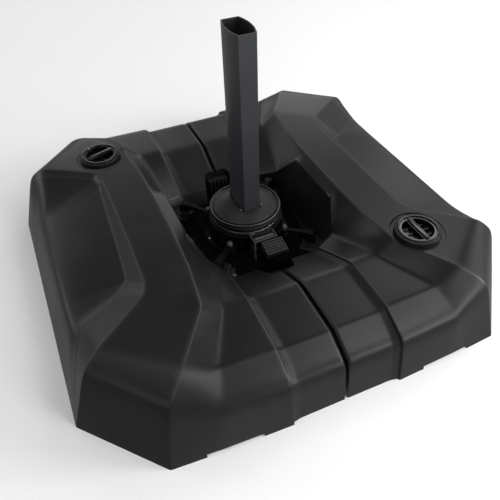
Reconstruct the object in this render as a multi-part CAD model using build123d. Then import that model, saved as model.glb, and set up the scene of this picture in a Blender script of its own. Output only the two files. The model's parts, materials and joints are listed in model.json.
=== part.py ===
from build123d import *
import os
from math import cos, radians, sin, sqrt

import numpy as np

# Two-piece fillable parasol base with a turning, foot-locked mast socket.
# Frame: origin on the floor under the mast axis, +Z up, the seam between the two
# tanks along Y, the foot pedal towards -Y. Millimetres.

# ---------------------------------------------------------------- driving sizes
BASE_HALF = 500.0          # half of the square base's side
SEAM_HALF = 4.0            # half of the gap between the two tanks
TANK_WALL = 5.0
MAST_TOP_Z = 560.0

# Tank deck: a centre band, a step, a cove and a raised ridge, mirrored in Y.
BAND_HALF = 102.0          # half width of the lower centre band
STEP_RUN = 17.0            # plan width of the step beside the band
STEP_RISE = 9.0
RIDGE_Z = 177.0
BROW_Z = 170.0             # ridge where it turns over at a corner
KNEE_Z = 135.0             # foot of the bevel at a ridge corner

# Fill neck and cap
NECK_X, NECK_Y = 276.0, -291.0
NECK_TOP_Z = 176.0
NECK_OUTER_R = 50.0
NECK_RING_R = 44.0
NECK_BORE_R = 39.0
NECK_DEPTH = 30.0
GROOVE_R = 60.0
GROOVE_FLOOR_Z = 171.5
COLLAR_INNER_R = 44.6      # bore of the collar that stands around the cap
COLLAR_TOP_Z = 182.0
CAP_R = 44.0
CAP_TOP_Z = 184.5
PART_GAP = 0.3             # play between faces that move past each other

# Cross base of steel box section, under the tanks along the diagonals
BAR_WIDTH, BAR_HEIGHT, BAR_WALL = 50.0, 40.0, 2.5
FOOT_H = 6.0
BAR_END_R = 556.0
BAR_CAP_LENGTH = 8.0
CHANNEL_PLAY = 4.0
CHANNEL_END_R = 569.0
SHELF_R, SHELF_TOP_Z = 148.0, 66.0
NOTCH_FLOOR_Z = 34.0
BAR_TOP_Z = FOOT_H + BAR_HEIGHT

# Hub
PLATE_HALF_X, PLATE_HALF_Y, PLATE_CHAMFER_R, PLATE_T = 131.0, 139.0, 146.0, 8.0
PLATE_TOP_Z = BAR_TOP_Z + PLATE_T
HOUSING_R, HOUSING_WALL = 88.0, 6.0
HOUSING_TOP_Z = 104.0
EAR_TOP_Z = 80.0
STAY_Z = EAR_TOP_Z
KNOB_R = 100.0
POST_R, NECK_POST_R = 24.0, 12.5
BUSH_PLAY = 0.05
DRUM_R = 80.0
DRUM_TOP_Z = 131.0
RIM_R = 84.4
RIM_TOP_Z = 136.5
INDEX_HOLES = 24
INDEX_R = 70.0
INDEX_HOLE_R = 5.4

# Mast section: two flats joined by two bowed sides
MAST_FLAT = 38.0
MAST_CHORD = 88.0
MAST_BOW = 8.0
MAST_WALL = 2.5
SOCKET_TOP_Z = 232.0

# Pedal and lock pin
PEDAL_X = 4.0              # middle of the pedal's lever, a little off the seam
BLOCK_HALF = 29.0
TREAD_X = 16.0
PIVOT_Y, PIVOT_Z = -98.0, 80.0
PIVOT_R = 4.0
PLATFORM_BACK = (-112.0, 101.5)   # top of the pedal's platform, (y, z)
PLATFORM_FRONT = (-150.0, 93.0)
TREAD_T = 5.0
PIN_R = 4.5
PIN_Y = -sqrt(INDEX_R ** 2 - PEDAL_X ** 2)
PIN_BOTTOM_Z = PIVOT_Z + PART_GAP
PIN_TOP_Z = HOUSING_TOP_Z + 0.4

DIAGONALS = {"front_right": -45.0, "back_right": 45.0, "back_left": 135.0, "front_left": 225.0}

os.makedirs("parts", exist_ok=True)
PARTS = {}


def keep(name, shape):
    """Register one node under its file name."""
    shape.label = name
    PARTS[name] = shape


def block(x0, x1, y0, y1, z0, z1):
    """Axis-aligned box between two corners."""
    size = (x1 - x0, y1 - y0, z1 - z0)
    middle = ((x0 + x1) / 2, (y0 + y1) / 2, (z0 + z1) / 2)
    return Pos(*middle) * Box(*size)


def rod(radius, z0, z1, x=0.0, y=0.0):
    """Upright cylinder between two heights."""
    return Pos(x, y, (z0 + z1) / 2) * Cylinder(radius, z1 - z0)


def ring(inner, outer, z0, z1, x=0.0, y=0.0):
    """Upright tube between two heights."""
    return rod(outer, z0, z1, x, y) - rod(inner, z0 - 1, z1 + 1, x, y)


def spun(points):
    """Solid of revolution about Z from (radius, height) points."""
    outline = Polyline(*[(r, 0, z) for r, z in points], close=True)
    return revolve(make_face(outline), Axis.Z)


def hexagon(across_corners_r, z0, z1, x=0.0, y=0.0):
    """Upright hexagonal prism."""
    return Pos(x, y, z0) * extrude(RegularPolygon(across_corners_r, 6), amount=z1 - z0)


def group(solids):
    """Several separate, identical solids in one node."""
    return Compound(children=list(solids))


def around(angle, shape):
    """Turn a shape about the mast axis."""
    return Rot(0, 0, angle) * shape


# ---------------------------------------------------------------- tank surface
ROWS = ["mid", "lip", "crest", "brow", "knee", "foot"]
STEP = BAND_HALF + STEP_RUN

# Each deck line runs from the middle of the well out to the floor, y growing.
# "None" stands for the open well.
PLAIN_END = {
    "seam": [None, (SEAM_HALF, 165, 80), (SEAM_HALF, 287, 137), (SEAM_HALF, 417, 132),
             (SEAM_HALF, 480, 94), (SEAM_HALF, 492, 0)],
    "band": [None, (92, 165, 80), (BAND_HALF, 287, 137), (BAND_HALF, 417, 132),
             (BAND_HALF, 480, 94), (BAND_HALF, 492, 0)],
    "step": [None, (109, 153, 88), (STEP, 287, 137 + STEP_RISE), (STEP, 417, 132 + STEP_RISE),
             (STEP, 486, 94 + STEP_RISE), (STEP, 500, 0)],
    "cove": [(172, 72, 166), (142, 116, 112), (172, 286, 147), (232, 418, 146),
             (250, 482, 106), (254, 495, 0)],
    "ridge_in": [(200, 75, RIDGE_Z), (202, 185, RIDGE_Z), (216, 298, RIDGE_Z), (293, 409, BROW_Z),
                 (337, 456, KNEE_Z), (361, 488, 0)],
    "ridge_out": [(294, 75, RIDGE_Z), (296, 188, RIDGE_Z), (307, 222, RIDGE_Z),
                  (420, 308, BROW_Z), (457, 328, KNEE_Z), (BASE_HALF, 331, 0)],
    "scoop": [(320, 75, 148), (326, 137, 144), (352, 163, 142), (437, 222, 135),
              (471, 288, 90), (BASE_HALF, 325, 0)],
    "shoulder": [(450, 75, 121), (450, 130, 121), (450, 165, 121), (452, 205, 119),
                 (477, 272, 74), (BASE_HALF, 312, 0)],
    "side": [(463, 75, 107), (463, 130, 107), (463, 165, 107), (464, 200, 105),
             (485, 262, 50), (BASE_HALF, 297, 0)],
    "floor": [(BASE_HALF, 75, 0), (BASE_HALF, 130, 0), (BASE_HALF, 165, 0), (BASE_HALF, 200, 0),
              (BASE_HALF, 255, 0), (BASE_HALF, 280, 0)],
}
# At the cap's end the well runs further along the ridge and the side panel is shallower.
CAP_END_STEP_LIP = (112, 166, 88)
CAP_END_COVE = [(172, 103, 166), (158, 146, 96)]
CAP_END_SCOOP = [(312, 75, 158), (306, 176, 166), (314, 213, 168), (426, 294, 160),
                 (462, 316, 124), (BASE_HALF, 326, 0)]
COLUMNS = list(PLAIN_END)
# Foot of the well's sloping wall, for the lip's points from the seam to the ridge
THROAT_Z = 45.0
THROAT = [(SEAM_HALF, 142), (92, 142), (117, 134), (134, 117), (134, 72)]


def deck_network():
    """Points of the tank's outer surface by (row, column); rows run from -Y to +Y."""
    cap_end = dict(PLAIN_END, scoop=CAP_END_SCOOP)
    cap_end["cove"] = CAP_END_COVE + PLAIN_END["cove"][2:]
    cap_end["step"] = [None, CAP_END_STEP_LIP] + PLAIN_END["step"][2:]
    points = {}
    for column, name in enumerate(COLUMNS):
        for step, point in enumerate(PLAIN_END[name]):
            if point is not None:
                points[len(ROWS) + step, column] = point
        for step, point in enumerate(cap_end[name]):
            if point is not None:
                points[len(ROWS) - 1 - step, column] = (point[0], -point[1], point[2])
    return points


def deck_triangles(points):
    """Two triangles per complete cell of the network, seen anticlockwise from outside."""
    triangles = []
    for row in range(2 * len(ROWS) - 1):
        for column in range(len(COLUMNS) - 1):
            a, b = (row, column), (row, column + 1)
            c, d = (row + 1, column + 1), (row + 1, column)
            if all(corner in points for corner in (a, b, c, d)):
                if row < len(ROWS):
                    triangles += [(a, b, d), (b, c, d)]
                else:
                    triangles += [(a, b, c), (a, c, d)]
    return triangles


def well_wall(points):
    """Sloping wall from the well's lip down to its throat; adds the throat's points."""
    cove = COLUMNS.index("cove")
    low, high = len(ROWS) - 2, len(ROWS) + 1
    lip = [(low, column) for column in range(cove + 1)] + [(low + 1, cove)]
    lip += [(high - 1, cove)] + [(high, column) for column in range(cove, -1, -1)]
    for key, (x, y) in zip(lip, THROAT + THROAT[::-1]):
        points[key + ("throat",)] = (x, y if key[0] >= len(ROWS) else -y, THROAT_Z)
    triangles = []
    for a, b in zip(lip, lip[1:]):
        low_a, low_b = a + ("throat",), b + ("throat",)
        triangles += [(a, b, low_a), (b, low_b, low_a)]
    return triangles


def open_edges(triangles):
    """Directed edges that only one triangle uses."""
    edges = {(t[i], t[(i + 1) % 3]) for t in triangles for i in range(3)}
    return [edge for edge in edges if (edge[1], edge[0]) not in edges]


def close_to_floor(points, triangles):
    """Add upright walls below the open edges, and return the floor's outline too."""
    walls = []
    for start, end in open_edges(triangles):
        for key in (start, end):
            if points[key][2] > 0:
                points[key + ("floor",)] = (points[key][0], points[key][1], 0.0)
        low_start = start + ("floor",) if points[start][2] > 0 else start
        low_end = end + ("floor",) if points[end][2] > 0 else end
        if low_start != start:
            walls.append((start, low_start, end))
        if low_end != end:
            walls.append((end, low_start, low_end))
    follow = {end: start for start, end in open_edges(triangles + walls)}
    outline = [next(iter(follow))]
    while follow[outline[-1]] != outline[0]:
        outline.append(follow[outline[-1]])
    return triangles + walls, outline


def inset(points, triangles, outline, thickness):
    """Move every point inwards so that each face it touches moves by the thickness."""
    normals = {key: [] for key in points}
    for triangle in triangles:
        a, b, c = (np.array(points[key], float) for key in triangle)
        normal = np.cross(b - a, c - a)
        for key in triangle:
            normals[key].append(normal / np.linalg.norm(normal))
    for key in outline:
        normals[key].append(np.array([0.0, 0.0, -1.0]))
    moved = {}
    for key, faces in normals.items():
        shift = np.linalg.lstsq(np.array(faces), -thickness * np.ones(len(faces)), rcond=0.2)[0]
        moved[key] = tuple(np.array(points[key], float) + shift)
    for key in outline:
        moved[key] = (moved[key][0], moved[key][1], thickness)
    return moved


def faceted_solid(points, triangles, outline):
    """Closed solid from triangles and one flat floor."""
    faces = [Face(Wire.make_polygon([points[key] for key in t], close=True)) for t in triangles]
    faces.append(Face(Wire.make_polygon([points[key] for key in outline], close=True)))
    return Solid(Shell(faces))


# ---------------------------------------------------------------- tanks
def channel(grow):
    """Space in a tank's underside for the two cross bars and their end feet."""
    half = BAR_WIDTH / 2 + CHANNEL_PLAY + grow
    top = BAR_TOP_Z + 1.0 + grow
    arm = block(0, CHANNEL_END_R + grow, -half, half, -1, top)
    return [around(45, arm), around(-45, arm)]


def seam_notch(grow):
    """Flared recess at each end of the well, shared by both tanks."""
    outline = [(0, 120), (52 + grow, 120), (33 + grow, 198), (25 + grow, 207 + grow), (0, 207 + grow)]
    face = Pos(0, 0, NOTCH_FLOOR_Z - grow) * make_face(Polyline(*outline, close=True))
    prism = extrude(face, amount=160)
    return [prism, mirror(prism, about=Plane.XZ)]


def edge_arches(grow):
    """Low arches that leave feet under the front and back edges."""
    return [
        block(178 - grow, 292 + grow, side * 440 - grow if side > 0 else -520,
              520 if side > 0 else -440 + grow, -1, 8 + grow)
        for side in (-1, 1)
    ]


def channel_shelf(angle):
    """Solid shelf over a cross bar where it leaves the well; the stay's foot rests on it."""
    half = BAR_WIDTH / 2 + CHANNEL_PLAY + TANK_WALL
    shelf = block(SHELF_R, 200, -half, half, THROAT_Z - 6, SHELF_TOP_Z)
    bar = block(0, 220, -half + TANK_WALL, half - TANK_WALL, -1, BAR_TOP_Z + 1)
    return around(angle, shelf - bar)


def tank():
    """Right-hand tank: a closed thin-walled shell with one fill neck."""
    points = deck_network()
    deck = deck_triangles(points) + well_wall(points)
    triangles, outline = close_to_floor(points, deck)
    outer = faceted_solid(points, triangles, outline)
    inner = faceted_solid(inset(points, triangles, outline, TANK_WALL), triangles, outline)
    for cut in channel(0) + seam_notch(0) + edge_arches(0):
        outer = outer - cut
    for cut in channel(TANK_WALL) + seam_notch(TANK_WALL) + edge_arches(TANK_WALL):
        inner = inner - cut
    neck_low = NECK_TOP_Z - NECK_DEPTH
    inner = inner - rod(NECK_OUTER_R, neck_low, NECK_TOP_Z, NECK_X, NECK_Y)
    inner = inner - rod(GROOVE_R + TANK_WALL, GROOVE_FLOOR_Z - TANK_WALL, NECK_TOP_Z, NECK_X, NECK_Y)
    groove = ring(NECK_OUTER_R, GROOVE_R, GROOVE_FLOOR_Z, COLLAR_TOP_Z, NECK_X, NECK_Y)
    shell = outer - inner - groove + channel_shelf(45) + channel_shelf(-45)
    shell = shell + ring(NECK_RING_R, NECK_OUTER_R, neck_low, COLLAR_TOP_Z, NECK_X, NECK_Y)
    shell = shell - rod(COLLAR_INNER_R, NECK_TOP_Z, COLLAR_TOP_Z + 1, NECK_X, NECK_Y)
    return shell - rod(NECK_RING_R, neck_low - 1, NECK_TOP_Z + 1, NECK_X, NECK_Y)


def neck_ring():
    """Pressed-in sleeve that carries the fill thread."""
    return ring(NECK_BORE_R, NECK_RING_R, NECK_TOP_Z - NECK_DEPTH, NECK_TOP_Z, NECK_X, NECK_Y)


def cap_gasket():
    """Flat seal between the cap's flange and the neck."""
    low = NECK_TOP_Z + PART_GAP
    return ring(NECK_BORE_R + 1, CAP_R - 1, low, low + 1.7, NECK_X, NECK_Y)


def fill_cap(bar_angle):
    """Screw cap with a grip bar between two D-shaped pockets."""
    flange_low = NECK_TOP_Z + 2 + 2 * PART_GAP
    flange = rod(CAP_R, flange_low, CAP_TOP_Z, NECK_X, NECK_Y)
    plug = rod(NECK_BORE_R - 0.4, NECK_TOP_Z - 20, flange_low, NECK_X, NECK_Y)
    pocket = rod(34, NECK_TOP_Z - 8, CAP_TOP_Z + 1, NECK_X, NECK_Y)
    bar = block(-5, 5, -40, 40, NECK_TOP_Z - 20, CAP_TOP_Z + 1)
    bar = Pos(NECK_X, NECK_Y, 0) * Rot(0, 0, bar_angle) * bar
    return flange + plug - (pocket - bar)


def tank_link():
    """Ribbed latch block that joins the two tanks in the back notch."""
    low, high = NOTCH_FLOOR_Z, 84.0
    body = block(-26, 26, 184, 201, low, high)
    for x in range(-22, 23, 11):
        body = body + block(x - 2.5, x + 2.5, 178, 185, low, high - 4)
    return body


# ---------------------------------------------------------------- cross base
def box_tube(x0, x1):
    """Steel box section along X, resting on the feet's height."""
    half = BAR_WIDTH / 2
    outer = block(x0, x1, -half, half, FOOT_H, BAR_TOP_Z)
    inner = block(x0 - 1, x1 + 1, -half + BAR_WALL, half - BAR_WALL, FOOT_H + BAR_WALL, BAR_TOP_Z - BAR_WALL)
    return outer - inner


def bar_end_cap():
    """Plastic plug in the open end of a bar, lying along +X."""
    half = BAR_WIDTH / 2
    head = block(BAR_END_R, BAR_END_R + BAR_CAP_LENGTH, -half, half, FOOT_H, BAR_TOP_Z)
    play = BAR_WALL
    tongue = block(BAR_END_R - 22, BAR_END_R, -half + play, half - play, FOOT_H + play, BAR_TOP_Z - play)
    return head + tongue


def bar_foot():
    """Rubber pad under a bar's end."""
    return rod(22, 0, FOOT_H, BAR_END_R - 40)


def stay():
    """Hooked arm from the hub's ear out to the tank's shelf, along +X."""
    side = [(94, STAY_Z), (94, STAY_Z + 6), (110, STAY_Z + 6), (148, 93), (172, 94), (177, 89),
            (177, SHELF_TOP_Z), (160, SHELF_TOP_Z), (150, 77), (118, STAY_Z)]
    web = extrude(make_face(Polyline(*[(x, 0, z) for x, z in side], close=True)), amount=7, both=True)
    return web + rod(9, STAY_Z, STAY_Z + 6, KNOB_R)


def stay_knob():
    """Thumb screw that clamps the stay's inner end, along +X."""
    profile = [(0, 0), (6.5, 0), (6.5, 8), (4.5, 11), (0, 11)]
    return Pos(KNOB_R, 0, STAY_Z + 6) * spun(profile)


def shelf_pad():
    """Ribbed block beside the stay's foot, on the tank's shelf, along +X."""
    pad = block(149, 170, 8, 23, SHELF_TOP_Z, SHELF_TOP_Z + 9)
    for x in (150, 155, 160, 165):
        pad = pad + block(x, x + 3, 8, 23, SHELF_TOP_Z + 8, SHELF_TOP_Z + 12)
    return pad


# ---------------------------------------------------------------- hub, fixed side
def hub_plate():
    """Eight-sided steel plate on the crossing bars; it fills the foot of the well."""
    low, high, reach = BAR_TOP_Z, PLATE_TOP_Z, PLATE_CHAMFER_R
    plate = block(-PLATE_HALF_X, PLATE_HALF_X, -PLATE_HALF_Y, PLATE_HALF_Y, low, high)
    return plate & around(45, block(-reach, reach, -reach, reach, low, high))


def plate_bolt(angle):
    """Hexagon head over the hub plate, inside the housing."""
    return around(angle, hexagon(9, PLATE_TOP_Z, PLATE_TOP_Z + 7, 66))


def pivot_post():
    """Flanged steel spindle that carries the turntable."""
    return spun([(0, PLATE_TOP_Z), (45, PLATE_TOP_Z), (45, 62), (POST_R, 62), (POST_R, 108.0),
                 (NECK_POST_R, 108.0), (NECK_POST_R, 129), (0, 129)])


def lever_window():
    """Opening in the housing's skirt for the pedal's lever."""
    return block(PEDAL_X - 24, PEDAL_X + 24, -100, -58, 60, 98)


def hub_housing():
    """Fixed drum with a top plate, a foot flange and four ears for the stays."""
    inner = HOUSING_R - HOUSING_WALL
    drum = spun([(40, 98), (inner, 98), (inner, PLATE_TOP_Z), (102, PLATE_TOP_Z), (102, 60),
                 (HOUSING_R, 60), (HOUSING_R, HOUSING_TOP_Z), (40, HOUSING_TOP_Z)])
    guide = rod(12, 92, 98.5, PEDAL_X, PIN_Y)
    drum = drum + guide - rod(8, 90, 106, PEDAL_X, PIN_Y)
    for angle in DIAGONALS.values():
        drum = drum + around(angle, block(HOUSING_R - 4, 110, -13, 13, EAR_TOP_Z - 14, EAR_TOP_Z))
    return drum - lever_window()


def flange_screw(angle):
    """Pan head screw in the housing's foot flange."""
    return around(angle, rod(3.5, 60, 63, 95.5))


def thrust_washer():
    """Plastic bearing ring between the housing and the turntable."""
    return ring(42, 58, HOUSING_TOP_Z, HOUSING_TOP_Z + 2)


def pin_guide():
    """Bush for the lock pin in the housing's top plate."""
    return ring(PIN_R + BUSH_PLAY, 8, 92, HOUSING_TOP_Z, PEDAL_X, PIN_Y)


def retaining_washer():
    """Washer over the upper bush that holds the turntable down."""
    return ring(NECK_POST_R, 24, 116.4, 118.9)


def retaining_nut():
    """Nut on the spindle's threaded end."""
    return hexagon(21, 118.9, 128, 0, 0) - rod(NECK_POST_R, 118, 129)


def pedal_block():
    """Fixed hinge block with a sunken window on top."""
    x0, x1 = PEDAL_X - BLOCK_HALF, PEDAL_X + BLOCK_HALF
    front, back = -110.0, -80.0
    top = block(x0, x1, front, back, 103, 110) - block(x0 + 5, x1 - 5, front + 5, back - 6, 108, 111)
    cheeks = [block(x, x + 5, front, back, PLATE_TOP_Z, 103) for x in (x0, x1 - 5)]
    body = top + cheeks[0] + cheeks[1]
    hinge_hole = Pos(PEDAL_X, PIVOT_Y, PIVOT_Z) * Rot(0, 90, 0) * Cylinder(PIVOT_R, 80)
    body = body - rod(HOUSING_R, 50, HOUSING_TOP_Z) - rod(DRUM_R + 2, 100, 112)
    return body - rod(102, 50, 60) - hinge_hole


def pedal_pin():
    """Hinge pin between the block's cheeks."""
    return Pos(PEDAL_X, PIVOT_Y, PIVOT_Z) * Rot(0, 90, 0) * Cylinder(PIVOT_R, 2 * BLOCK_HALF)


# ---------------------------------------------------------------- pedal and lock pin
def across(outline, x0, x1):
    """Bar along X with a (y, z) outline."""
    face = make_face(Polyline(*[(x0, y, z) for y, z in outline], close=True))
    return extrude(face, amount=x1 - x0, dir=(1, 0, 0))


def platform_z(y):
    """Height of the platform's sloping top at a distance from the mast axis."""
    share = (y - PLATFORM_BACK[0]) / (PLATFORM_FRONT[0] - PLATFORM_BACK[0])
    return PLATFORM_BACK[1] + share * (PLATFORM_FRONT[1] - PLATFORM_BACK[1])


def pedal_lever():
    """Lever with a round nose under the lock pin, a bored hub and a tread platform."""
    back, front = PLATFORM_BACK[0], PLATFORM_FRONT[0]
    arm = across([(PIN_Y, PIVOT_Z - 4), (PIVOT_Y, 73), (back, 73), (-125, 84), (-125, 92), (back, 92),
                  (PIVOT_Y, 87), (-88, 81), (PIN_Y, PIVOT_Z - 1)], PEDAL_X - 20, PEDAL_X + 20)
    outline = [(back, platform_z(back) - 12), (front, platform_z(front) - 6), PLATFORM_FRONT, PLATFORM_BACK]
    platform = across(outline, TREAD_X - 28, TREAD_X + 28)
    nose = Pos(PEDAL_X, PIN_Y, PIVOT_Z - 3) * Rot(0, 90, 0) * Cylinder(3, 40)
    bore = Pos(PEDAL_X, PIVOT_Y, PIVOT_Z) * Rot(0, 90, 0) * Cylinder(PIVOT_R + BUSH_PLAY, 80)
    return arm + nose + platform - bore


def pedal_tread():
    """Rubber pad on the pedal's platform."""
    back, front = PLATFORM_BACK[0] - 1, PLATFORM_FRONT[0] + 1
    outline = [(back, platform_z(back)), (front, platform_z(front)),
               (front, platform_z(front) + TREAD_T), (back, platform_z(back) + TREAD_T)]
    return across(outline, TREAD_X - 26, TREAD_X + 26)


def lock_pin():
    """Headed pin that the pedal's nose lifts into the index plate."""
    shank = rod(PIN_R, PIN_BOTTOM_Z, PIN_TOP_Z, PEDAL_X, PIN_Y)
    return shank + rod(7, PIN_BOTTOM_Z, PIN_BOTTOM_Z + 3.5, PEDAL_X, PIN_Y)


# ---------------------------------------------------------------- turning side
def turntable():
    """Cast turntable with a boss for the bushes and a well for the nut."""
    return spun([(16, 109), (28, 109), (28, 84), (36, 84), (36, 106.3), (59.7, 106.3), (59.7, 112),
                 (DRUM_R, 112), (DRUM_R, DRUM_TOP_Z), (26, DRUM_TOP_Z), (26, 116), (16, 116)])


def index_plate():
    """Steel ring with the holes that the lock pin enters."""
    plate = ring(59.7, DRUM_R, 106.3, 112)
    first = np.degrees(np.arctan2(PIN_Y, PEDAL_X))
    for hole in range(INDEX_HOLES):
        angle = radians(first + hole * 360 / INDEX_HOLES)
        plate = plate - rod(INDEX_HOLE_R, 105, 113, INDEX_R * cos(angle), INDEX_R * sin(angle))
    return plate


def lower_bush():
    """Plain bearing between the spindle and the turntable's skirt."""
    return ring(POST_R + BUSH_PLAY, 28, 84, 107.5)


def upper_bush():
    """Plain bearing on the spindle's neck."""
    return ring(NECK_POST_R + BUSH_PLAY, 16, 109, 116)


def rim_ring():
    """Raised ring around the turntable's edge."""
    return spun([(DRUM_R, 125), (RIM_R - 1, 125), (RIM_R, 127), (RIM_R, RIM_TOP_Z - 2),
                 (RIM_R - 2, RIM_TOP_Z), (78.5, RIM_TOP_Z), (78.5, DRUM_TOP_Z), (DRUM_R, DRUM_TOP_Z)])


def mast_outline(grow):
    """Closed face of the mast's section, grown by an offset."""
    x, y = MAST_FLAT / 2 + grow, MAST_CHORD / 2 + grow
    bulge = x + MAST_BOW
    sides = [Line((-x, -y), (x, -y)), ThreePointArc((x, -y), (bulge, 0), (x, y)),
             Line((x, y), (-x, y)), ThreePointArc((-x, y), (-bulge, 0), (-x, -y))]
    return make_face(Curve() + sides)


def mast_prism(grow, z0, z1):
    """Upright length of the mast's section, grown by an offset."""
    return Pos(0, 0, z0) * extrude(mast_outline(grow), amount=z1 - z0)


def cover_dome():
    """Domed cover between the rim and the mast."""
    low = DRUM_TOP_Z
    dome = spun([(66, low), (75.8, low), (75.8, 134), (70, 137.5), (60, 147), (52, 152), (44, 154),
                 (0, 154), (0, 151), (43, 151), (50, 149), (57, 145), (66, 137)])
    return dome - mast_prism(0.4, low - 1, 160)


def mast_socket():
    """Steel spigot on a round base plate."""
    base = rod(60, DRUM_TOP_Z, DRUM_TOP_Z + 3)
    tube = block(-15, 15, -38, 38, DRUM_TOP_Z + 3, SOCKET_TOP_Z) - block(-12, 12, -35, 35, 100, 300)
    return base + tube


def mast_tube():
    """Lower length of the mast, open at both ends."""
    low = DRUM_TOP_Z + 3.2
    return mast_prism(0, low, MAST_TOP_Z) - mast_prism(-MAST_WALL, low - 1, MAST_TOP_Z + 1)


def mast_screw(z):
    """Button-head screw from the back face into the spigot."""
    y = MAST_CHORD / 2
    return Pos(0, y + 1.8, z) * Rot(90, 0, 0) * Cylinder(7, 3.6)


# ---------------------------------------------------------------- assembly
def build_tanks():
    right = tank()
    for side, turn, bar_angle in (("right", 0, 0), ("left", 180, -70)):
        keep(f"tank_{side}", around(turn, right))
        keep(f"neck_ring_{side}", around(turn, neck_ring()))
        keep(f"cap_gasket_{side}", around(turn, cap_gasket()))
        keep(f"fill_cap_{side}", around(turn, fill_cap(bar_angle)))
    keep("tank_link", tank_link())


def build_cross():
    half = BAR_WIDTH / 2
    keep("cross_bar_long", around(-45, box_tube(-BAR_END_R, BAR_END_R)))
    keep("cross_bar_right", around(45, box_tube(half, BAR_END_R)))
    keep("cross_bar_left", around(225, box_tube(half, BAR_END_R)))
    for place, angle in DIAGONALS.items():
        keep(f"bar_end_cap_{place}", around(angle, bar_end_cap()))
        keep(f"bar_foot_{place}", around(angle, bar_foot()))
        keep(f"stay_{place}", around(angle, stay()))
    keep("stay_knobs", group(around(a, stay_knob()) for a in DIAGONALS.values()))
    keep("shelf_pads", group(around(a, shelf_pad()) for a in DIAGONALS.values()))


def build_hub():
    keep("hub_plate", hub_plate())
    keep("plate_bolts", group(plate_bolt(a) for a in DIAGONALS.values()))
    keep("pivot_post", pivot_post())
    keep("hub_housing", hub_housing())
    keep("flange_screws", group(flange_screw(a) for a in (0, 90, 180)))
    keep("thrust_washer", thrust_washer())
    keep("pin_guide", pin_guide())
    keep("retaining_washer", retaining_washer())
    keep("retaining_nut", retaining_nut())
    keep("pedal_block", pedal_block())
    keep("pedal_pin", pedal_pin())
    keep("pedal_lever", pedal_lever())
    keep("pedal_tread", pedal_tread())
    keep("lock_pin", lock_pin())


def build_mast():
    keep("turntable", turntable())
    keep("index_plate", index_plate())
    keep("lower_bush", lower_bush())
    keep("upper_bush", upper_bush())
    keep("rim_ring", rim_ring())
    keep("cover_dome", cover_dome())
    keep("mast_socket", mast_socket())
    keep("mast_tube", mast_tube())
    keep("mast_screws", group(mast_screw(z) for z in (175, 215)))


build_tanks()
build_cross()
build_hub()
build_mast()
for node, shape in PARTS.items():
    export_step(shape, f"parts/{node}.step")
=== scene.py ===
import json
from math import asin, cos, pi, radians, sin, tau

import bmesh
import bpy
from mathutils import Matrix, Vector


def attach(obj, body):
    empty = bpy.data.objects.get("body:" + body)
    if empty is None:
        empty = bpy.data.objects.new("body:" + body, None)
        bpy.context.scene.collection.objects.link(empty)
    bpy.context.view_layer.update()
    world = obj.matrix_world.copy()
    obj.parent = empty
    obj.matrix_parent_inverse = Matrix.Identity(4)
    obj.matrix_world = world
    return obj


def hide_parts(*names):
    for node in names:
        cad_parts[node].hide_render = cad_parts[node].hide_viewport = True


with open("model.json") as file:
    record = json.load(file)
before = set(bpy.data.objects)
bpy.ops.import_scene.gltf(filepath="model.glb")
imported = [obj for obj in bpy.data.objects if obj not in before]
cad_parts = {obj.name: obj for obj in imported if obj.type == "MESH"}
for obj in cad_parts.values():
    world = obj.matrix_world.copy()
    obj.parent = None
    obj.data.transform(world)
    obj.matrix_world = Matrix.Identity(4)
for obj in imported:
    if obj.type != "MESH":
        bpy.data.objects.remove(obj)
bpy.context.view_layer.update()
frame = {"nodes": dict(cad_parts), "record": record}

MM = 0.001
TINY = 1e-6

# ---------------------------------------------------------------- driving sizes, metres
# Tanks: seam, notches at the well's ends, shelves over the bars' channels, arches, the well's floor
SEAM_HALF = 0.004
NOTCH_FLOOR_Z, NOTCH_TOP_Z = 0.034, 0.2
SHELF_R, SHELF_END_R, SHELF_TOP_Z = 0.148, 0.2, 0.066
CHANNEL_HALF, CHANNEL_TOP_Z, CHANNEL_END_R = 0.029, 0.047, 0.569
ARCH_LOW_X, ARCH_HIGH_X, ARCH_TOP_Z = 0.178, 0.292, 0.008
THROAT_Z = 0.045
SHELL_WALL = 0.005
BELOW = -0.01    # where cutters that open downwards start

# Filler neck of the right tank, its collar and the cap
NECK = (0.276, -0.291)
NECK_TOP_Z = 0.176
NECK_RING_R, COLLAR_INNER_R, NECK_OUTER_R, GROOVE_R = 0.044, 0.0446, 0.050, 0.060
GROOVE_FLOOR_Z, COLLAR_TOP_Z = 0.1715, 0.182
CAP_TOP_Z = 0.1845

# Mast: width of a flat side, chord and swell of a bowed side, wall
MAST_FLAT, MAST_CHORD, MAST_BOW, MAST_WALL = 0.038, 0.088, 0.008, 0.0025
MAST_LOW_Z, MAST_TOP_Z = 0.1342, 0.560

# Pedal's hinge block and tread, stays with their thumb screws, cross bars, housing's flange
BLOCK_X, BLOCK_HALF = 0.004, 0.024
TREAD_X = 0.016
KNOB_R, STAY_Z, STAY_DEPTH = 0.100, 0.080, 0.006
BAR_END_R, FOOT_INSET = 0.556, 0.040
FLANGE_SCREW_R, FLANGE_TOP_Z = 0.0955, 0.060
DIAGONALS = {"front_right": -45, "back_right": 45, "back_left": 135, "front_left": 225}


# ---------------------------------------------------------------- mesh helpers
def mesh_from(name, verts, faces):
    """Mesh from lists of positions and of the faces' corners."""
    mesh = bpy.data.meshes.new(name)
    mesh.from_pydata([tuple(v) for v in verts], [], faces)
    mesh.update()
    return mesh


def to_mesh(name, bm):
    """Mesh from a bmesh, which is used up."""
    mesh = bpy.data.meshes.new(name)
    bm.to_mesh(mesh)
    bm.free()
    return mesh


def smooth(mesh, angle):
    """Smooth shading, with edges sharper than the angle kept crisp."""
    mesh.shade_smooth()
    mesh.set_sharp_from_angle(angle=radians(angle))


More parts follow.
